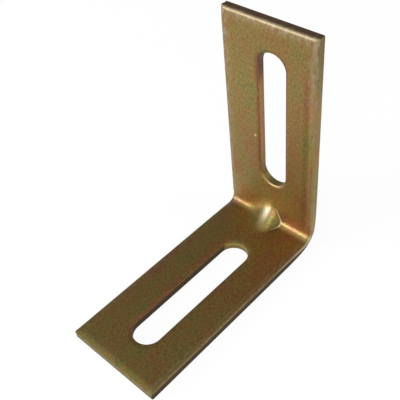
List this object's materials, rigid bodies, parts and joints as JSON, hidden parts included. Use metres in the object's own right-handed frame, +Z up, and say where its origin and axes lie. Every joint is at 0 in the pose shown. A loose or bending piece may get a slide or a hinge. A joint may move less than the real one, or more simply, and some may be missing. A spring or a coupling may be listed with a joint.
{
  "type": "corner brace bracket",
  "caption": "Right-angle corner brace folded from one steel strip, with a long adjusting slot in each leg and a pressed stiffening dart in the bend.",
  "frame": {"origin": "on the underside, at the middle of the base leg's length and of the strip's width", "axes": "+Z up from the base leg, +Y from the base leg's end to the wall leg, X across the strip; the wall leg's inner face faces -Y"},
  "size_m": [0.035, 0.0794, 0.0805],
  "materials": {
    "plated_steel": "satin yellow-passivated zinc plating with patches of green, brown and rose"
  },
  "bodies": {
    "root": {"bracket": "plated_steel"}
  },
  "joints": []
}
